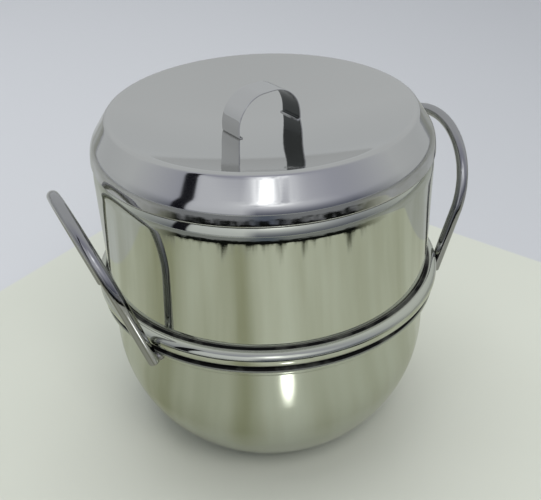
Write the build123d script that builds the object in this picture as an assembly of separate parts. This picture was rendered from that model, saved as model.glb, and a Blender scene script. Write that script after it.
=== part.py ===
from build123d import *
from math import atan2, cos, degrees, radians, sin
import os

# Three-piece stove-top steamer in polished stainless sheet: a bellied pot with two bent-rod
# handles, a steaming tier that sits on the pot's rolled rim with a perforated plate inside,
# and a dished lid with a flat strap handle.
# Millimetres. The origin is the centre of the pot's floor where it rests, +Z is up, and the
# two rod handles lie along +X and -X. Every shell is drawn as the middle line of its sheet.

# Sheet and clearances
sheet = 1.0
half_sheet = sheet / 2
seat_gap = 0.3

# Pot: flat floor, rounded belly, straight wall, rim rolled outward into a round bead
pot_wall_radius = 115.7
pot_floor_corner_radius = 76.3
pot_belly_bottom_z = 43.9
pot_floor_fillet = 39.0
pot_belly_fillet = 106.0
bead_curl_radius = 3.2
bead_centre_z = 119.8
bead_curl_angle = 300
bead_top_z = bead_centre_z + bead_curl_radius + half_sheet

# Steaming tier: inward ledge, spigot inside the pot, half-round ridge on the pot's bead, wall
spigot_radius = 114.0
ledge_inner_radius = 107.0
ledge_z = 107.5
ridge_seat_z = bead_top_z + seat_gap + half_sheet
ridge_radius = 124.0
ridge_height = 10.8
ridge_bend = 5.3
ridge_top_z = ridge_seat_z + ridge_height
tier_inner_bend = 1.5
tier_wall_radius = 116.3
tier_rim_z = 221.2
tier_rim_radius = 113.6
tier_rim_curve_z = 211.9

# Perforated steaming plate, loose on the tier's ledge
plate_radius = 112.4
plate_rim_height = 4.0
plate_rim_bend = 1.5
plate_hole_radius = 3.0
plate_ring_pitch = 15.0
plate_rings = 6
plate_z = ledge_z + half_sheet + seat_gap + half_sheet

# Lid: plug skirt inside the tier, folded seat, curved shoulder, sharp crease, dished top
skirt_radius = 112.1
skirt_bottom_z = 212.5
lid_seat_z = tier_rim_z + half_sheet + seat_gap + half_sheet
lid_edge_radius = 116.9
lid_shoulder_radius = 115.9
lid_shoulder_z = 232.5
lid_crease_radius = 103.6
lid_crease_z = 250.4
skirt_bend = 0.9
lid_edge_bend = 1.4
lid_shoulder_bend = 18.0
lid_crease_bend = 3.2
dish_turn_radius = 51.0
dish_floor_z = 233.7
dish_curve_radius = 315.0

# Rod handles: one bent rod each, welded to the bead and leaning outward, each set by hand a
# little off the line through the middle
rod_diameter = 8.2
handle_foot_half_spread = 53.5
handle_top_half_spread = 56.3
handle_foot_x = 113.3
handle_foot_z = 113.5
handle_length = 105.4
handle_lean = 16.9
handle_bend_radius = 54.5
handle_right_angle = -1.4
handle_left_angle = 181.4
rod_end_round = 1.2
weld_radius = 4.5
weld_centre_radius = 120.0
weld_centre_z = 116.6

# Lid handle: flat strap bent into an arch, with short feet turned inward and welded to the dish
strap_width = 20.0
strap_thickness = 0.9
strap_half_span = 25.5
strap_height = 26.0
strap_bend_radius = 22.0
strap_foot_length = 2.4
strap_foot_bend = 1.0
strap_turn = 10.0
strap_foot_sink = 0.25


def revolved_sheet(outline):
    """Sheet of even thickness about its middle line, turned about the vertical axis."""
    return revolve(Plane.XZ * trace(outline, line_width=sheet), Axis.Z)


def pot_outline():
    """Floor, belly and wall as one filleted line, then the rim's curl rolled outward."""
    body = FilletPolyline(
        (0, half_sheet),
        (pot_floor_corner_radius, half_sheet),
        (pot_wall_radius, pot_belly_bottom_z),
        (pot_wall_radius, bead_centre_z),
        radius=[pot_floor_fillet, pot_belly_fillet],
    )
    curl = CenterArc(
        (pot_wall_radius + bead_curl_radius, bead_centre_z),
        bead_curl_radius,
        180,
        -bead_curl_angle,
    )
    return Curve() + [body, curl]


def make_pot_shell():
    return revolved_sheet(pot_outline())


def make_tier_shell():
    """Ledge, spigot, ridge and wall, with the mouth drawn in a little for the lid."""
    body = FilletPolyline(
        (ledge_inner_radius, ledge_z),
        (spigot_radius, ledge_z),
        (spigot_radius, ridge_seat_z),
        (ridge_radius, ridge_seat_z),
        (ridge_radius, ridge_top_z),
        (tier_wall_radius, ridge_top_z),
        (tier_wall_radius, tier_rim_curve_z),
        radius=[tier_inner_bend, tier_inner_bend, ridge_bend, ridge_bend, tier_inner_bend],
    )
    mouth = TangentArc(
        (tier_wall_radius, tier_rim_curve_z),
        (tier_rim_radius, tier_rim_z),
        tangent=(0, 1),
    )
    return revolved_sheet(Curve() + [body, mouth])


def make_steaming_plate():
    """Flat disc with an upturned rim and rings of round steam holes."""
    outline = FilletPolyline(
        (0, plate_z),
        (plate_radius, plate_z),
        (plate_radius, plate_z + plate_rim_height),
        radius=plate_rim_bend,
    )
    plate = revolved_sheet(outline)
    hole = Cylinder(plate_hole_radius, 4 * sheet)
    holes = [Pos(0, 0, plate_z) * hole]
    for ring in range(1, plate_rings + 1):
        spots = PolarLocations(ring * plate_ring_pitch, 6 * ring)
        holes += [Pos(0, 0, plate_z) * spot * hole for spot in spots]
    return plate - holes


def make_lid_shell():
    """Skirt, folded seat, shoulder, crease and dish as one filleted line."""
    outline = FilletPolyline(
        (skirt_radius, skirt_bottom_z),
        (skirt_radius, lid_seat_z),
        (lid_edge_radius, lid_seat_z),
        (lid_shoulder_radius, lid_shoulder_z),
        (lid_crease_radius, lid_crease_z),
        (dish_turn_radius, dish_floor_z),
        (0, dish_floor_z),
        radius=[skirt_bend, lid_edge_bend, lid_shoulder_bend, lid_crease_bend, dish_curve_radius],
    )
    return revolved_sheet(outline)


def make_pot_handle():
    """An arch of round rod in a plane that leans away from the pot along +X."""
    lean = radians(handle_lean)
    arch_plane = Plane(
        origin=(handle_foot_x, 0, handle_foot_z),
        x_dir=(0, 1, 0),
        z_dir=(cos(lean), 0, -sin(lean)),
    )
    arch = arch_plane * FilletPolyline(
        (-handle_foot_half_spread, 0),
        (-handle_top_half_spread, handle_length),
        (handle_top_half_spread, handle_length),
        (handle_foot_half_spread, 0),
        radius=handle_bend_radius,
    )
    section = Plane(origin=arch @ 0, z_dir=arch % 0) * Circle(rod_diameter / 2)
    rod = sweep(section, path=arch)
    rod_ends = rod.faces().filter_by(GeomType.PLANE).edges()
    return fillet(rod_ends, rod_end_round)


def make_handle_weld(angle, pot, handle):
    """One weld bead that fills the corner between a rod foot, the bead and the pot wall."""
    # The ball's poles lie square to the wall's normal, so that its seam is clear of the cuts.
    centre = Rot(0, 0, angle) * Pos(weld_centre_radius, 0, weld_centre_z)
    weld = centre * Rot(0, 90, 0) * Sphere(weld_radius) - pot - handle
    return max(weld.solids(), key=lambda solid: solid.volume)


def make_handle_welds(pot, handles):
    """Two welds for each handle, given by the angle that the handle is set at."""
    foot_angle = degrees(atan2(handle_foot_half_spread, handle_foot_x))
    return Compound(
        children=[
            make_handle_weld(angle + foot_side * foot_angle, pot, handle)
            for angle, handle in handles.items()
            for foot_side in (-1, 1)
        ]
    )


def make_lid_strap():
    """Flat strap arch with short inward feet, pressed a little onto the dish."""
    inner_end = strap_half_span - strap_foot_length
    outline = FilletPolyline(
        (-inner_end, 0),
        (-strap_half_span, 0),
        (-strap_half_span, strap_height),
        (strap_half_span, strap_height),
        (strap_half_span, 0),
        (inner_end, 0),
        radius=[strap_foot_bend, strap_bend_radius, strap_bend_radius, strap_foot_bend],
    )
    strip = Plane.XZ * trace(outline, line_width=strap_thickness)
    strap = extrude(strip, amount=strap_width / 2, both=True)
    dish_z = dish_floor_z + half_sheet + dish_rise(strap_half_span)
    foot_z = dish_z + strap_thickness / 2 - strap_foot_sink
    return Pos(0, 0, foot_z) * Rot(0, 0, strap_turn) * strap


def dish_rise(radius):
    """Height of the dish's curve above its lowest point at a distance from the axis."""
    return radius**2 / (2 * dish_curve_radius)


def main():
    os.makedirs("parts", exist_ok=True)
    pot_shell = make_pot_shell()
    handle = make_pot_handle()
    handle_right = Rot(0, 0, handle_right_angle) * handle
    handle_left = Rot(0, 0, handle_left_angle) * handle
    handles = {handle_right_angle: handle_right, handle_left_angle: handle_left}
    lid_shell = make_lid_shell()
    nodes = {
        "pot_shell": pot_shell,
        "pot_handle_right": handle_right,
        "pot_handle_left": handle_left,
        "handle_welds": make_handle_welds(pot_shell, handles),
        "steaming_tier_shell": make_tier_shell(),
        "steaming_plate": make_steaming_plate(),
        "lid_shell": lid_shell,
        "lid_strap_handle": make_lid_strap() - lid_shell,
    }
    for name, shape in nodes.items():
        export_step(shape, f"parts/{name}.step")


main()
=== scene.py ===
from math import atan2, cos, pi, radians, sin, tan

import bpy
import numpy as np
from mathutils import Matrix, Vector


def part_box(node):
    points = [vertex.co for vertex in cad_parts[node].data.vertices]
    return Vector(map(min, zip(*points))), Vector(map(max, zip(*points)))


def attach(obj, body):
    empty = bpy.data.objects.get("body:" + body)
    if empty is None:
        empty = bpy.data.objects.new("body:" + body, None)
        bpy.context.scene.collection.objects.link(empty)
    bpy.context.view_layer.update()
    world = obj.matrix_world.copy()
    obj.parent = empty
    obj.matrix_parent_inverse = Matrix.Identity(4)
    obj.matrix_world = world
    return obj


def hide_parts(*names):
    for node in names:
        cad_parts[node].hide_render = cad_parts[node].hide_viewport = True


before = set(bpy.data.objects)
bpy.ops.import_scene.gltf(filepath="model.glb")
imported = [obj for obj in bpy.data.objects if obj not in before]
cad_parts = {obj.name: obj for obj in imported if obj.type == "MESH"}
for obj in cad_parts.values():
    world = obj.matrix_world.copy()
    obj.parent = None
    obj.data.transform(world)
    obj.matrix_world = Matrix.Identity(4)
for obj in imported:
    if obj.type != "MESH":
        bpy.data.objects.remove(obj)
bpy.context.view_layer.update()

# ---------------------------------------------------------------------------------------------
# The standpoint. A person stands at the table and looks down on the steamer from the front,
# a little to the left of the line that is square to the two handles.

eye = Vector((-0.2159, -0.4547, 0.4519))
heading = radians(25.68)
downward = radians(32.26)
tilt = radians(-2.18)
level_right = Vector((cos(heading), -sin(heading), 0))
ahead = Vector((sin(heading) * cos(downward), cos(heading) * cos(downward), -sin(downward)))
above = level_right.cross(ahead)
right = level_right * cos(tilt) + above * sin(tilt)
upward = above * cos(tilt) - level_right * sin(tilt)
camera = bpy.data.objects.new("camera", bpy.data.cameras.new("camera"))
camera.data.lens = 52.99
camera.data.sensor_width = 36
camera.data.clip_start = 0.02
camera.data.clip_end = 30
camera.matrix_world = Matrix((right, upward, -ahead)).transposed().to_4x4()
camera.matrix_world.translation = eye
bpy.context.scene.collection.objects.link(camera)
bpy.context.scene.camera = camera
bpy.context.scene.view_settings.view_transform = "Standard"


# ---------------------------------------------------------------------------------------------
# Pot. A bowl drawn from 1 mm stainless sheet, spun round at the belly and polished on a lathe.
# The rim is curled outward into a round bead, and its sheet ends just clear of the wall.

class Field:
    """A shader socket that Python's operators add Math nodes to."""

    def __init__(self, tree, socket):
        self.tree = tree
        self.socket = socket

    def node(self, kind, settings=None, output=0, **inputs):
        """Adds any node: its settings come first, then values or links for its named sockets."""
        made = self.tree.nodes.new(kind)
        for name, value in (settings or {}).items():
            setattr(made, name, value)
        for name, value in inputs.items():
            key = int(name[1:]) if name[0] == "i" and name[1:].isdigit() else name.replace("_", " ")
            target = made.inputs[key]
            if isinstance(value, Field):
                self.tree.links.new(value.socket, target)
            else:
                target.default_value = value
        return Field(self.tree, made.outputs[output])

    def math(self, operation, *others):
        """A Math node that takes this field first and then the others."""
        sockets = {f"i{index}": other for index, other in enumerate((self, *others))}
        return self.node("ShaderNodeMath", {"operation": operation}, **sockets)

    def __add__(self, other):
        return self.math("ADD", other)

    def __radd__(self, other):
        return self.math("ADD", other)

    def __mul__(self, other):
        return self.math("MULTIPLY", other)

    def __rmul__(self, other):
        return self.math("MULTIPLY", other)

    def __sub__(self, other):
        return self.math("SUBTRACT", other)

    def __rsub__(self, other):
        return self.math("MULTIPLY", -1.0) + other

    def __truediv__(self, other):
        return self.math("DIVIDE", other)

    def between(self, low, high):
        """0 below low, 1 above high, and a straight rise between them."""
        return self.node(
            "ShaderNodeMapRange",
            Value=self,
            From_Min=low,
            From_Max=high,
        )

    def noise(self, scale, detail=3.0, roughness=0.5):
        """Noise from 0 to 1 with this field as its place."""
        return self.node(
            "ShaderNodeTexNoise",
            Vector=self,
            Scale=scale,
            Detail=detail,
            Roughness=roughness,
        )

    def mix(self, first, second):
        """A colour that goes from first to second as this field goes from 0 to 1."""
        return self.node(
            "ShaderNodeMix",
            {"data_type": "RGBA"},
            output=2,
            Factor=self,
            i6=first,
            i7=second,
        )


def bump_of(value, middle, width):
    """A smooth hump: 1 where the field is at middle, and falling away over width."""
    away = (value - middle) / width
    return (away * away * -1.0).math("EXPONENT")


def split(place):
    """The three coordinates of a place or direction."""
    outputs = place.node("ShaderNodeSeparateXYZ", Vector=place).socket.node.outputs
    return [Field(place.tree, output) for output in outputs]


def new_material(name):
    """An empty node material: its surface shader, and a Field to start building from."""
    material = bpy.data.materials.new(name)
    material.use_nodes = True
    tree = material.node_tree
    shader = tree.nodes["Principled BSDF"]
    place = tree.nodes.new("ShaderNodeTexCoord")
    return material, shader, Field(tree, place.outputs["Object"])


ring_fineness = 2600.0
ring_length = 6.0
# Near-black painted shade for the creases that lie in shadow.
painted_crease_shade = (0.006, 0.006, 0.006, 1.0)


def polished_steel(name, tint, gloss, haze, rings, wipes, shaded_creases=()):
    """Stainless steel polished on a wheel. Fine rings follow the sheet round the axis, where v of
    the UV map is the distance along the profile. Broad smears and fine wipe marks dull the gloss,
    from roughness gloss to gloss + haze, and rings and wipes are the depths of the marks. Painted
    shade darkens the creases that lie in shadow: the last argument lists them as (distance along
    the profile, half width)."""
    material, shader, place = new_material(name)
    flat = place.node("ShaderNodeUVMap", {"uv_map": "sheet"})
    x, y, _ = split(place)
    along = split(flat)[1]
    ring_place = place.node(
        "ShaderNodeCombineXYZ",
        X=x * ring_length,
        Y=y * ring_length,
        Z=along * ring_fineness,
    )
    ring_marks = ring_place.noise(1.0, detail=4.0, roughness=0.7)
    smears = place.noise(16.0, detail=4.0, roughness=0.6).between(0.42, 0.72)
    cloud = place.noise(5.0, detail=2.0).between(0.35, 0.7)
    wipe_place = place.node(
        "ShaderNodeMapping",
        Vector=place,
        Rotation=(0.5, 0.9, 0.3),
        Scale=(260.0, 14.0, 20.0),
    )
    wipe_marks = wipe_place.noise(1.0, detail=5.0, roughness=0.75)
    dull = smears * 0.55 + cloud * 0.25 + ring_marks * 0.2
    shade = (cloud * 0.6 + ring_marks * 0.4).mix(
        (*[channel * 0.93 for channel in tint], 1.0), (*tint, 1.0)
    )
    roughness = dull * haze + gloss
    shader.inputs["Metallic"].default_value = 1.0
    if shaded_creases:
        crease = 0.0
        for middle, width in shaded_creases:
            crease = bump_of(along, middle, width).math("MAXIMUM", crease)
        patchy = place.noise(70.0, detail=3.0).between(0.25, 0.5) * 0.15 + 0.85
        # Painted shade: the listed creases go near-black and less metallic, standing in for the shadow
        # in them.
        painted_shade = (crease * 3.0).math("MINIMUM", 1.0) * patchy
        shade = painted_shade.mix(shade, painted_crease_shade)
        roughness = roughness + painted_shade * 0.35
        unshaded = 1.0 - painted_shade
        place.tree.links.new(unshaded.socket, shader.inputs["Metallic"])
    place.tree.links.new(shade.socket, shader.inputs["Base Color"])
    place.tree.links.new(roughness.socket, shader.inputs["Roughness"])
    shader.inputs["Specular IOR Level"].default_value = 0.05
    height = ring_marks * rings + wipe_marks * wipes
    bump = height.node("ShaderNodeBump", Height=height, Distance=0.0001, Strength=1.0)
    place.tree.links.new(bump.socket, shader.inputs["Normal"])
    return material


def bent_line(corners, radii, step=0.0016, turn=radians(7)):
    """The middle line of bent sheet: straight runs between the corners, with an arc of the given
    radius at each inner corner, as an array of (radius from the axis, height) points. Runs are
    divided by step, and arcs by step or turn, whichever is finer."""
    corners = np.asarray(corners, float)
    points = [corners[0]]
    for before, corner, after, radius in zip(corners, corners[1:], corners[2:], radii):
        inward = (before - corner) / np.linalg.norm(before - corner)
        outward = (after - corner) / np.linalg.norm(after - corner)
        half = np.arccos(np.clip(inward @ outward, -1, 1)) / 2
        middle = inward + outward
        centre = corner + middle / np.linalg.norm(middle) * radius / sin(half)
        start = corner + inward * radius / tan(half) - centre
        sweep = pi - 2 * half
        side = np.sign(outward[0] * inward[1] - outward[1] * inward[0])
        pieces = int(max(sweep / turn, sweep * radius / step)) + 2
        angles = np.linspace(0, sweep * side, pieces + 1)
        spun = np.stack([
            start[0] * np.cos(angles) - start[1] * np.sin(angles),
            start[0] * np.sin(angles) + start[1] * np.cos(angles),
        ], axis=1)
        points.extend(centre + spun)
    points.append(corners[-1])
    return spaced(np.array(points), step)


def spaced(points, step):
    """The same line with its longer gaps divided evenly into pieces no longer than step."""
    line = [points[:1]]
    for start, end in zip(points, points[1:]):
        gap = np.linalg.norm(end - start)
        if gap > 1e-9:
            shares = np.arange(1, max(1, int(np.ceil(gap / step))) + 1)[:, None]
            line.append(start + (end - start) * shares / shares[-1])
    return np.concatenate(line)


def reach_near(line, spot):
    """The distance along a line to its point nearest the spot."""
    nearest = np.argmin(np.linalg.norm(line - np.array(spot), axis=1))
    return float(np.linalg.norm(np.diff(line[: nearest + 1], axis=0), axis=1).sum())


def sheet_outline(line, thickness):
    """The closed outline of sheet about its middle line: the line is moved square to itself by
    half the thickness to each side, and a free edge is rounded with a half circle. An end on the
    axis stays open there. Also gives the distance along the profile at each outline point."""
    slope = np.gradient(line, axis=0)
    slope /= np.linalg.norm(slope, axis=1)[:, None]
    square = np.stack([slope[:, 1], -slope[:, 0]], axis=1)
    reach = np.concatenate([[0], np.cumsum(np.linalg.norm(np.diff(line, axis=0), axis=1))])
    half = thickness / 2
    near = line + square * half
    far = (line - square * half)[::-1]
    angles = np.linspace(0, pi, 7)[1:-1, None]
    cap_end = line[-1] + half * (np.cos(angles) * square[-1] + np.sin(angles) * slope[-1])
    cap_start = line[0] - half * (np.cos(angles) * square[0] + np.sin(angles) * slope[0])
    closed_start = line[0, 0] > 1e-6
    closed_end = line[-1, 0] > 1e-6
    outline = [near]
    reaches = [reach]
    if closed_end:
        outline.append(cap_end)
        reaches.append(np.full(5, reach[-1]))
    outline.append(far)
    reaches.append(reach[::-1])
    if closed_start:
        outline.append(cap_start)
        reaches.append(np.zeros(5))
    return np.concatenate(outline), np.concatenate(reaches)


def grid_mesh(name, points, faces, material, corner_uv=None):
    """A smooth mesh piece from points and faces, with its UV map and material."""
    mesh = bpy.data.meshes.new(name)
    mesh.from_pydata(points.tolist(), [], faces)
    mesh.polygons.foreach_set("use_smooth", np.ones(len(mesh.polygons), bool))
    if corner_uv is not None:
        corners = np.zeros(len(mesh.loops), int)
        mesh.loops.foreach_get("vertex_index", corners)
        layer = mesh.uv_layers.new(name="sheet")
        layer.data.foreach_set("uv", corner_uv[corners].astype(np.float32).ravel())
    mesh.materials.append(material)
    mesh.update()
    piece = bpy.data.objects.new(name, mesh)
    bpy.context.scene.collection.objects.link(piece)
    return piece


def turned_sheet(name, line, material, thickness=0.001, around=240, stray=None):
    """Sheet turned about the vertical axis. Each outline point (radius, height) is carried round
    in equal steps. An end that lies on the axis closes to one point on each face of the sheet.
    stray(angle, reach) moves the sheet outward a little, as hand-worked sheet strays from round."""
    outline, reach = sheet_outline(line, thickness)
    on_axis = outline[:, 0] < 1e-6
    angles = np.linspace(0, 2 * pi, around, endpoint=False)
    radius = np.repeat(outline[:, :1], around, axis=1)
    if stray is not None:
        radius = radius + stray(angles[None, :], reach[:, None]) * (radius > 0.01)
    grid = np.stack([
        radius * np.cos(angles),
        radius * np.sin(angles),
        np.repeat(outline[:, 1:], around, axis=1),
    ], axis=2)
    index = np.arange(grid.shape[0] * around).reshape(-1, around)
    index[on_axis] = index[on_axis][:, :1]
    rows = np.arange(len(outline))
    following = np.roll(rows, -1)
    faces = []
    for row, after in zip(rows, following):
        if on_axis[row] and on_axis[after]:
            continue
        here, there = index[row], index[after]
        quads = np.stack([here, np.roll(here, -1), np.roll(there, -1), there], axis=1)
        if on_axis[row]:
            quads = quads[:, 1:]
        elif on_axis[after]:
            quads = quads[:, :3]
        faces.extend(quads.tolist())
    points = grid.reshape(-1, 3)
    uv = np.stack([
        np.broadcast_to(angles / (2 * pi), (len(outline), around)).ravel(),
        np.repeat(reach, around),
    ], axis=1)
    used = np.unique(np.concatenate([np.ravel(face) for face in faces]))
    order = np.full(len(points), -1)
    order[used] = np.arange(len(used))
    faces = [order[face].tolist() for face in faces]
    return grid_mesh(name, points[used], faces, material, uv[used])


sheet = 0.001
pot_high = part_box("pot_shell")[1]
bead_curl = 0.0032
bead_middle = pot_high.x - bead_curl - sheet / 2
bead_height = pot_high.z - bead_curl - sheet / 2
pot_wall = bead_middle - bead_curl
floor_corner = 0.0763
belly_foot = 0.0439
floor_bend = 0.039
belly_bend = 0.106


def hand_worked(depth, seed):
    """Slow waves round and along the sheet, a few hundredths of a millimetre deep: a sum of sines
    with seeded counts and phases, less its own greatest height, so that it only moves inward."""
    draw = np.random.default_rng(seed)
    counts = draw.integers(2, 9, 7)
    pitches = draw.uniform(15, 90, 7)
    phases = draw.uniform(0, 2 * pi, 7)
    depths = depth / counts

    def stray(angle, reach):
        """How far the sheet lies outward of true round, at an angle and along the profile."""
        waves = sum(
            size * np.sin(count * angle + pitch * reach + phase)
            for size, count, pitch, phase in zip(depths, counts, pitches, phases)
        )
        return waves - depths.sum()

    return stray


pot_line = bent_line(
    [
        (0, sheet / 2),
        (floor_corner, sheet / 2),
        (pot_wall, belly_foot),
        (pot_wall, bead_height),
    ],
    [floor_bend, belly_bend],
)
curl_turns = np.radians(np.linspace(180, -120, 44)[1:])
bead_curl_line = np.stack([
    bead_middle + bead_curl * np.cos(curl_turns),
    bead_height + bead_curl * np.sin(curl_turns),
], axis=1)
pot_profile = np.concatenate([pot_line, bead_curl_line])
bead_top = (bead_middle + bead_curl * 0.5, bead_height + bead_curl * 0.87)
under_bead = (bead_middle + bead_curl * 0.5, bead_height - bead_curl * 0.87)
pot_steel = polished_steel(
    "pot_steel",
    tint=(0.60, 0.625, 0.55),
    gloss=0.07,
    haze=0.12,
    rings=0.12,
    wipes=0.04,
    # Painted shade on the bead's top under the tier's ridge, and under the bead.
    shaded_creases=[(reach_near(pot_profile, bead_top), 0.0017), (reach_near(pot_profile, under_bead), 0.0005)],
)
pot = turned_sheet(
    "pot_shell_spun",
    pot_profile,
    pot_steel,
    stray=hand_worked(0.00006, 3),
)
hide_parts("pot_shell")
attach(pot, "pot")


# ---------------------------------------------------------------------------------------------
# Rod handles. Each is one length of round bright rod bent to an arch and leaning outward, with
# its cut ends eased. The rod carries drawing lines along its length and a few handling marks.

def rounded_tube(name, path, radius, end_round, material, around=40):
    """Round rod along a path. At each path point a circle stands square to the path, on axes that
    are carried along without twisting. Each end is flat, and a quarter circle of the radius
    end_round eases its edge: the circle shrinks by its cosine as the path advances by its sine."""
    ahead_of = np.gradient(path, axis=0)
    ahead_of /= np.linalg.norm(ahead_of, axis=1)[:, None]
    side = np.cross(ahead_of, np.cross(ahead_of[len(path) // 2], (1.0, 0.0, 0.0)))
    side /= np.linalg.norm(side, axis=1)[:, None]
    other = np.cross(ahead_of, side)
    ease = np.linspace(0, pi / 2, 9)[1:]
    setback = end_round * (1 - np.sin(ease))[:, None]
    eased = radius - end_round * (1 - np.cos(ease))
    inner = slice(1, -1)
    stations = np.concatenate([
        path[0] + ahead_of[0] * setback[::-1],
        path[inner],
        path[-1] - ahead_of[-1] * setback,
    ])
    widths = np.concatenate([eased[::-1], np.full(len(path[inner]), radius), eased])
    held = np.concatenate([
        np.zeros(len(ease), int),
        np.arange(len(path))[inner],
        np.full(len(ease), len(path) - 1),
    ])
    sides, others = side[held], other[held]
    angles = np.linspace(0, 2 * pi, around, endpoint=False)[None, :, None]
    ring = np.cos(angles) * sides[:, None] + np.sin(angles) * others[:, None]
    grid = stations[:, None] + ring * widths[:, None, None]
    index = np.arange(len(stations) * around).reshape(-1, around)
    here, there = index[:-1], index[1:]
    quads = np.stack([here, np.roll(here, -1, 1), np.roll(there, -1, 1), there], axis=2)
    faces = quads.reshape(-1, 4).tolist()
    faces.append(index[0][::-1].tolist())
    faces.append(index[-1].tolist())
    reach = np.concatenate([[0], np.cumsum(np.linalg.norm(np.diff(stations, axis=0), axis=1))])
    uv = np.stack([
        np.repeat(reach, around),
        np.broadcast_to(np.linspace(0, 1, around, endpoint=False) * 0.005, (len(reach), around)).ravel(),
    ], axis=1)
    return grid_mesh(name, grid.reshape(-1, 3), faces, material, uv)


rod = 0.0041
rod_end_round = 0.0012
foot_spread = 0.0535
top_spread = 0.0563
foot_out = 0.1133
foot_height = 0.1135
arch_length = 0.1054
arch_lean = radians(16.9)
arch_bend = 0.0545
handle_turns = {"right": radians(-1.4), "left": radians(181.4)}


def handle_path(turn):
    """The rod's middle line: a flat arch drawn as (across, up), then leaned outward, and turned
    about the pot's axis to its side."""
    arch = bent_line(
        [
            (-foot_spread, 0),
            (-top_spread, arch_length),
            (top_spread, arch_length),
            (foot_spread, 0),
        ],
        [arch_bend, arch_bend],
        step=0.0018,
        turn=radians(3),
    )
    outward = foot_out + arch[:, 1] * sin(arch_lean)
    return np.stack([
        outward * cos(turn) - arch[:, 0] * sin(turn),
        outward * sin(turn) + arch[:, 0] * cos(turn),
        foot_height + arch[:, 1] * cos(arch_lean),
    ], axis=1)


rod_steel = polished_steel(
    "rod_steel",
    tint=(0.41, 0.41, 0.42),
    gloss=0.015,
    haze=0.04,
    rings=0.45,
    wipes=0.02,
)
for side, turn in handle_turns.items():
    handle = rounded_tube(f"pot_handle_{side}_rod", handle_path(turn), rod, rod_end_round, rod_steel)
    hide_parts(f"pot_handle_{side}")
    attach(handle, "pot")


# ---------------------------------------------------------------------------------------------
# Welds. A lump of weld metal fills the corner between each rod foot, the pot's wall and the
# underside of the bead. The polishing wheel doesn't reach it, so it keeps its ripples.

weld_steel = polished_steel(
    "weld_steel",
    tint=(0.42, 0.41, 0.40),
    gloss=0.22,
    haze=0.25,
    rings=0.5,
    wipes=0.3,
)


weld_radius = 0.0043
weld_flattening = 0.95
ripple_depth = 0.035
ripple_count = 15


def weld_bead(name, centre, outward):
    """A lump: a sphere rippled by stacked freezing lines, where the radius is a wave of the
    height and of the angle."""
    rows, around = 40, 56
    polar = np.linspace(0, pi, rows)[:, None]
    angle = np.linspace(0, 2 * pi, around, endpoint=False)[None, :]
    freezing = np.sin(ripple_count * polar + 1.5 * np.sin(2 * angle)) * np.sin(polar)
    lump = weld_radius * (1 + ripple_depth * freezing)
    outward = Vector(outward).normalized()
    across = Vector((0, 0, 1)).cross(outward)
    across, outward = np.array(across), np.array(outward)
    grid = (
        (lump * np.sin(polar) * np.cos(angle))[..., None] * outward
        + (lump * np.sin(polar) * np.sin(angle))[..., None] * across
        + (lump * np.cos(polar) * np.ones_like(angle))[..., None] * np.array((0, 0, weld_flattening))
    ) + np.array(centre)
    index = np.arange(rows * around).reshape(rows, around)
    index[0] = index[0, 0]
    index[-1] = index[-1, 0]
    here, there = index[:-1], index[1:]
    quads = np.stack([here, there, np.roll(there, -1, 1), np.roll(here, -1, 1)], axis=2)
    faces = [list(dict.fromkeys(face)) for face in quads.reshape(-1, 4).tolist()]
    used = np.unique(index)
    order = np.zeros(rows * around, int)
    order[used] = np.arange(len(used))
    faces = [order[face].tolist() for face in faces]
    uv = np.stack([
        np.repeat(polar[:, 0], around),
        np.repeat(polar[:, 0] * 0.0046, around),
    ], axis=1)
    return grid_mesh(name, grid.reshape(-1, 3)[used], faces, weld_steel, uv[used])


weld_out = 0.1200
weld_height = 0.1166
foot_angle = atan2(foot_spread, foot_out)
for side, turn in handle_turns.items():
    for foot, swing in (("a", -foot_angle), ("b", foot_angle)):
        outward = Vector((cos(turn + swing), sin(turn + swing), 0))
        spot = outward * weld_out + Vector((0, 0, weld_height))
        weld = weld_bead(f"weld_{side}_{foot}", spot, outward)
        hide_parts("handle_welds")
        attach(weld, "pot")


# ---------------------------------------------------------------------------------------------
# Steaming tier. A cylinder of the same sheet with a half-round ridge that rests on the pot's bead,
# a spigot inside the pot, a ledge for the plate, and a mouth drawn in a little for the lid.

tier_low, tier_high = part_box("steaming_tier_shell")
seat_gap = 0.0003
ridge_seat = pot_high.z + seat_gap + sheet / 2
ridge_radius = tier_high.x - sheet / 2
ridge_rise = 0.0108
ridge_bend = 0.0053
tier_wall = 0.1163
tier_bend = 0.0015
ledge_inner = 0.1070
spigot = 0.1140
mouth_start = tier_high.z - 0.0097
mouth_radius = 0.1136


def drawn_in(start, end):
    """An arc that leaves start straight up and bends in to end: its radius follows from the
    chord, because the arc turns twice the chord's angle."""
    run, rise = start[0] - end[0], end[1] - start[1]
    radius = (run**2 + rise**2) / (2 * run)
    angles = np.linspace(0, 2 * np.arctan2(run, rise), 14)[1:]
    return np.stack([
        start[0] - radius + radius * np.cos(angles),
        start[1] + radius * np.sin(angles),
    ], axis=1)


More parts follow.
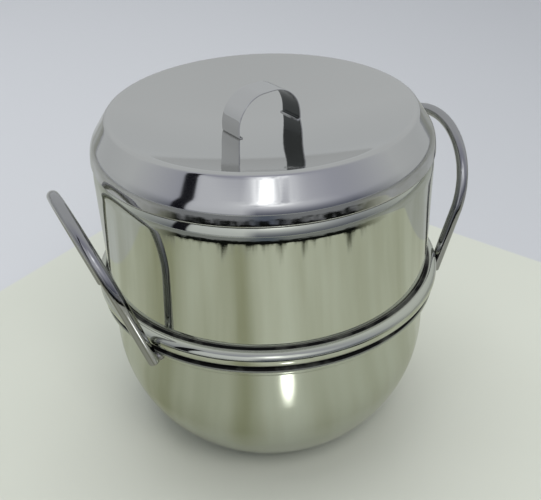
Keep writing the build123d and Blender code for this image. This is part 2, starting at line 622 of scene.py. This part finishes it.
tier_line = np.concatenate([
    bent_line(
        [
            (ledge_inner, tier_low.z + sheet / 2),
            (spigot, tier_low.z + sheet / 2),
            (spigot, ridge_seat),
            (ridge_radius, ridge_seat),
            (ridge_radius, ridge_seat + ridge_rise),
            (tier_wall, ridge_seat + ridge_rise),
            (tier_wall, mouth_start),
        ],
        [tier_bend, tier_bend, ridge_bend, ridge_bend, tier_bend],
        turn=radians(4),
    ),
    drawn_in((tier_wall, mouth_start), (mouth_radius, tier_high.z - sheet / 2)),
])
ridge_top = ridge_seat + ridge_rise
tier_steel = polished_steel(
    "tier_steel",
    tint=(0.63, 0.65, 0.565),
    gloss=0.02,
    haze=0.045,
    rings=0.05,
    wipes=0.012,
    # Painted shade in the fillet above the ridge and under the ridge.
    shaded_creases=[
        (reach_near(tier_line, (tier_wall + 0.0010, ridge_top)), 0.0014),
        (reach_near(tier_line, (ridge_radius - 0.0016, ridge_seat + 0.0016)), 0.0012),
    ],
)
tier = turned_sheet(
    "steaming_tier_spun",
    tier_line,
    tier_steel,
    stray=hand_worked(0.00005, 11),
)
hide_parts("steaming_tier_shell")
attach(tier, "tier")


# ---------------------------------------------------------------------------------------------
# Steaming plate. A loose disc of brushed sheet, pierced with rings of round holes. Its shape is
# the CAD node's own; only its finish is given here.

plate_steel = polished_steel(
    "plate_steel",
    tint=(0.55, 0.55, 0.54),
    gloss=0.26,
    haze=0.16,
    rings=0.0,
    wipes=0.35,
)
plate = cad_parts["steaming_plate"]
plate.data.materials.clear()
plate.data.materials.append(plate_steel)


# ---------------------------------------------------------------------------------------------
# Lid. One pressing: a plug skirt, a folded seat with a fine rolled edge, a curved shoulder, a
# crease, and a dished top. The whole lid has one polished finish.

lid_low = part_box("lid_shell")[0]
seat_height = tier_high.z + seat_gap + sheet / 2
skirt = 0.1121
lid_edge = 0.1169
shoulder = (0.1159, 0.2325)
crease = (0.1036, 0.2504)
dish_turn = 0.0510
dish_floor = 0.2337
skirt_bend = 0.0009
edge_bend = 0.0014
shoulder_bend = 0.018
crease_bend = 0.0032
dish_bend = 0.315
lid_line = bent_line(
    [
        (skirt, lid_low.z),
        (skirt, seat_height),
        (lid_edge, seat_height),
        shoulder,
        crease,
        (dish_turn, dish_floor),
        (0, dish_floor),
    ],
    [skirt_bend, edge_bend, shoulder_bend, crease_bend, dish_bend],
)
lid_steel = polished_steel(
    "lid_steel",
    tint=(0.63, 0.63, 0.62),
    gloss=0.03,
    haze=0.08,
    rings=0.05,
    wipes=0.02,
    # Painted shade at the seat's edge, where the lid sits on the tier.
    shaded_creases=[(reach_near(lid_line, (lid_edge - 0.0005, seat_height + 0.0004)), 0.0005)],
)
lid = turned_sheet(
    "lid_shell_spun",
    lid_line,
    lid_steel,
    stray=hand_worked(0.00005, 23),
)
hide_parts("lid_shell")
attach(lid, "lid")


# ---------------------------------------------------------------------------------------------
# Strap handle. A flat strap bent to an arch over the dish, with its edges broken by filing and
# short feet turned in and welded down.

strap_low, strap_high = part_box("lid_strap_handle")
strap_thick = 0.0009
strap_wide = 0.020
strap_half = 0.0255
strap_foot = 0.0024
strap_rise = strap_high.z - strap_low.z - strap_thick
strap_bend = 0.022
strap_foot_bend = 0.001
strap_turn = radians(10)
strap_steel = polished_steel(
    "strap_steel",
    tint=(0.62, 0.62, 0.62),
    gloss=0.05,
    haze=0.08,
    rings=0.08,
    wipes=0.03,
)
# Painted shade: a dark copy of the strap's steel for the face under the arch.
strap_inside_shade = polished_steel(
    "strap_inside_shade",
    tint=(0.10, 0.105, 0.105),
    gloss=0.10,
    haze=0.20,
    rings=0.1,
    wipes=0.08,
)


def flat_strap(name, line, thick, wide, material, inside):
    """Strap carried along a flat arch (across, up): its section is a slim rectangle with round
    edges, the sum of a half width and a half circle of the strap's thickness. The inside material,
    a dark copy of the steel that paints the shade under the arch, covers the face that looks into
    the arch."""
    slope = np.gradient(line, axis=0)
    slope /= np.linalg.norm(slope, axis=1)[:, None]
    square = np.stack([slope[:, 1], -slope[:, 0]], axis=1)
    angles = np.linspace(-pi / 2, pi / 2, 9)
    edge = thick / 2
    flat = np.linspace(-1, 1, 9)[1:-1] * (wide / 2 - edge)
    width = np.concatenate([
        wide / 2 - edge + edge * np.cos(angles),
        flat[::-1],
        -wide / 2 + edge - edge * np.cos(angles),
        flat,
    ])
    depth = np.concatenate([
        edge * np.sin(angles),
        np.full(len(flat), edge),
        edge * np.sin(-angles),
        np.full(len(flat), -edge),
    ])
    flat_points = line[:, None] + square[:, None] * depth[None, :, None]
    grid = np.stack([
        flat_points[..., 0],
        np.broadcast_to(width, flat_points.shape[:2]),
        flat_points[..., 1],
    ], axis=2)
    count = len(width)
    index = np.arange(len(line) * count).reshape(-1, count)
    here, there = index[:-1], index[1:]
    quads = np.stack([here, there, np.roll(there, -1, 1), np.roll(here, -1, 1)], axis=2)
    faces = quads.reshape(-1, 4).tolist()
    faces.append(index[0].tolist())
    faces.append(index[-1][::-1].tolist())
    turned = grid.reshape(-1, 3) @ np.array([
        [cos(strap_turn), sin(strap_turn), 0],
        [-sin(strap_turn), cos(strap_turn), 0],
        [0, 0, 1],
    ])
    reach = np.concatenate([[0], np.cumsum(np.linalg.norm(np.diff(line, axis=0), axis=1))])
    uv = np.stack([np.repeat(reach, count), np.tile(width, len(line))], axis=1)
    piece = grid_mesh(name, turned, faces, material, uv)
    piece.data.materials.append(inside)
    column = np.arange(len(line) * count - count) % count
    first = len(angles) - 1
    inner_face = np.concatenate([(column >= first) & (column <= first + len(flat)), [False] * 2])
    piece.data.polygons.foreach_set("material_index", inner_face.astype(np.int32))
    return piece


foot_level = strap_low.z + strap_thick / 2
strap_line = bent_line(
    [
        (-strap_half + strap_foot, foot_level),
        (-strap_half, foot_level),
        (-strap_half, foot_level + strap_rise),
        (strap_half, foot_level + strap_rise),
        (strap_half, foot_level),
        (strap_half - strap_foot, foot_level),
    ],
    [strap_foot_bend, strap_bend, strap_bend, strap_foot_bend],
    step=0.0008,
    turn=radians(4),
)
strap = flat_strap("lid_strap_bent", strap_line, strap_thick, strap_wide, strap_steel, strap_inside_shade)
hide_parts("lid_strap_handle")
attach(strap, "lid")


# ---------------------------------------------------------------------------------------------
# Table, room and light. A pale glazed table top runs under everything and turns to a paler grey
# beyond its two far edges. Soft boxes light it. A sheet that shows only in reflections lies on the
# table in front. It is painted light: painted shade and painted reflection of the dark near side
# of the room, with painted bands and a glowing painted glare. The room is plain pale grey when it is
# looked at, and its window, pane and post show only in the steel.

floor_half = 6.0
table_reach = 0.307
edge_blur = 0.003
card_half = 3.0
card_height = 0.0008


def stage_sheet(name, corners, material):
    """One flat face of the stage."""
    mesh = bpy.data.meshes.new(name)
    mesh.from_pydata(corners, [], [list(range(len(corners)))])
    mesh.materials.append(material)
    piece = bpy.data.objects.new(name, mesh)
    bpy.context.scene.collection.objects.link(piece)
    return piece


def toward_eye(distance, sideways, height):
    """A place in front of the steamer: so far from its axis toward the standpoint, so far to the
    right of that line, and at that height."""
    front = Vector((-sin(heading), -cos(heading), 0))
    across = Vector((cos(heading), -sin(heading), 0))
    return tuple(front * distance + across * sideways + Vector((0, 0, height)))


def toward_and_across(place):
    """How far a place lies toward the standpoint, and how far to the right of that line."""
    x, y, _ = split(place)
    toward = x * -sin(heading) + y * -cos(heading)
    across = x * cos(heading) + y * -sin(heading)
    return toward, across


table_top, table_shader, table_place = new_material("table_top")
left_edge = radians(27.7)
right_edge = radians(-66.0)
table_x, table_y, _ = split(table_place)
past_left = table_y * cos(left_edge) - table_x * sin(left_edge)
past_right = table_x * -sin(right_edge) + table_y * cos(right_edge)
beyond = past_left.math("MAXIMUM", past_right).between(table_reach, table_reach + edge_blur)
mottle = table_place.noise(3.0, detail=3.0)
glaze = mottle.mix((0.56, 0.575, 0.50, 1), (0.62, 0.635, 0.56, 1))
leftward = toward_and_across(table_place)[1].between(0.5, -0.5)
wall_shade = leftward.mix((0.48, 0.49, 0.51, 1), (0.60, 0.61, 0.63, 1))
floor_shade = beyond.mix(glaze, wall_shade)
table_place.tree.links.new(floor_shade.socket, table_shader.inputs["Base Color"])
table_gloss = beyond * 0.35 + 0.30
table_place.tree.links.new(table_gloss.socket, table_shader.inputs["Roughness"])
stage_sheet(
    "table_top",
    [(x * floor_half, y * floor_half, 0) for x, y in ((-1, -1), (1, -1), (1, 1), (-1, 1))],
    table_top,
)

# Painted shade and painted reflection: an emitting, see-through sheet that only the steel sees. Where it
# covers, the steel mirrors dark shade instead of the table.
painted_shade_and_glare, card_shader, card_place = new_material("painted_shade_and_glare")
toward, across = toward_and_across(card_place)
reach = (toward * toward + across * across).math("SQRT")
bearing = across.math("ARCTAN2", toward)
streaks = bearing.node("ShaderNodeCombineXYZ", X=bearing, Y=reach * 0.5).noise(3.5, detail=4.0)
clutter = bearing.node("ShaderNodeCombineXYZ", X=bearing * 2.0, Y=reach * 1.5)
ragged = clutter.noise(5.0, detail=3.0, roughness=0.6)
in_front = bearing.math("ABSOLUTE").between(1.5, 0.9)
far = (reach + ragged * 0.16).between(0.52, 0.56) * in_front
# Painted reflection: dark bands at two bearings and a lighter band at a third.
reflected_dark_bands = bump_of(bearing, -0.26, 0.12) * 0.24 + bump_of(bearing, -1.1, 0.22) * 0.30
shade_near = reflected_dark_bands + 0.17 - bump_of(bearing, 0.17, 0.15) * 0.12
cover = (shade_near + streaks.between(0.35, 0.65) * 0.20).math("MAXIMUM", far)
# Painted glare: a glowing spot that stands in for the window shining on the glazed table.
glare = bump_of(reach, 0.236, 0.026) * bump_of(bearing, 0.14, 0.06)
cover = cover.math("MAXIMUM", glare.between(0.0, 0.5)) * reach.between(0.08, 0.13)
beyond_black = (reach + ragged * 0.9).between(1.15, 1.35)
far_off = bump_of(bearing, 0.0, 0.18).mix((0.24, 0.25, 0.26, 1), (0.11, 0.13, 0.17, 1))
distance = beyond_black.mix((0.006, 0.007, 0.006, 1), far_off)
dark = far.mix((0.13, 0.13, 0.01, 1), distance)
lit = glare.mix(dark, (5.0, 5.1, 4.9, 1))
card_shader.inputs["Base Color"].default_value = (0, 0, 0, 1)
card_shader.inputs["Roughness"].default_value = 1.0
card_shader.inputs["Specular IOR Level"].default_value = 0.0
card_shader.inputs["Emission Strength"].default_value = 1.0
card_place.tree.links.new(lit.socket, card_shader.inputs["Emission Color"])
from_above = 1.0 - card_place.node("ShaderNodeNewGeometry", output=6)
cover = cover.math("MINIMUM", 1.0) * from_above
card_place.tree.links.new(cover.socket, card_shader.inputs["Alpha"])
card = stage_sheet(
    "painted_shade_and_glare_sheet",
    [
        toward_eye(toward_side * card_half, across_side * card_half, card_height)
        for toward_side, across_side in ((-1, -1), (1, -1), (1, 1), (-1, 1))
    ],
    painted_shade_and_glare,
)
card.visible_camera = False
card.visible_diffuse = False
card.visible_shadow = False


def soft_box(name, place, aim, size, power, colour):
    """A rectangular light at place, turned to aim, that the steel doesn't mirror."""
    light = bpy.data.lights.new(name, "AREA")
    light.shape = "RECTANGLE"
    light.size, light.size_y = size
    light.energy = power
    light.color = colour
    box = bpy.data.objects.new(name, light)
    box.location = place
    box.rotation_euler = (Vector(aim) - Vector(place)).to_track_quat("-Z", "Y").to_euler()
    box.visible_glossy = False
    bpy.context.scene.collection.objects.link(box)
    return box


soft_box("window", toward_eye(1.0, 0.35, 1.5), (0, 0, 0.15), (0.7, 0.7), 9, (1.0, 0.99, 0.96))
soft_box("ceiling", (0, 0.3, 2.2), (0, 0, 0), (1.6, 1.6), 22, (0.97, 0.99, 1.0))

world = bpy.data.worlds.new("room")
world.use_nodes = True
bpy.context.scene.world = world
room = world.node_tree
backdrop = room.nodes["Background"]
direction = Field(room, room.nodes.new("ShaderNodeTexCoord").outputs["Generated"])
toward, across = toward_and_across(direction)
climb = split(direction)[2].math("ARCSINE")
bearing = across.math("ARCTAN2", toward)


def span(value, low, high, soft):
    """1 between low and high, with edges that fade over soft."""
    return value.between(low - soft, low) * value.between(high + soft, high)


def degree_span(value, low, high, soft):
    """The same with its limits and its fade in degrees."""
    return span(value, radians(low), radians(high), radians(soft))


front = toward.between(-0.1, 0.55)
low_to_high = climb.between(radians(2), radians(22))
front_wall = low_to_high.mix((0.15, 0.16, 0.20, 1), (0.36, 0.37, 0.44, 1))
front_sky = climb.between(radians(45), radians(75)).mix(front_wall, (0.42, 0.42, 0.51, 1))
back_wall = climb.between(radians(6), radians(26))
back_low = back_wall.mix((0.53, 0.55, 0.56, 1), (0.60, 0.62, 0.63, 1))
sky = front.mix(back_low, front_sky)
pane = degree_span(bearing, -46, -14, 9) * degree_span(climb, 2, 38, 5)
sky = (pane * 0.7).mix(sky, (0.78, 0.80, 0.84, 1))
post = degree_span(bearing, -58, -50, 1.5) * degree_span(climb, -5, 46, 3)
sky = post.mix(sky, (0.008, 0.008, 0.012, 1))
curtain = direction.noise(7.0, detail=3.0).between(0.30, 0.60)
window = bump_of(bearing, radians(4), radians(13)) * curtain
window = window * bump_of(climb, radians(40), radians(10))
haze = bump_of(bearing, radians(12), radians(30)) * 0.6
haze = haze * bump_of(climb, radians(30), radians(15))
sky = haze.mix(sky, (1.0, 1.02, 1.06, 1))
sky = window.mix(sky, (2.6, 2.65, 2.7, 1))
looked_at = Field(room, room.nodes.new("ShaderNodeLightPath").outputs["Is Camera Ray"])
sky = looked_at.mix(sky, (0.56, 0.57, 0.59, 1))
room.links.new(sky.socket, backdrop.inputs["Color"])
backdrop.inputs["Strength"].default_value = 1.0
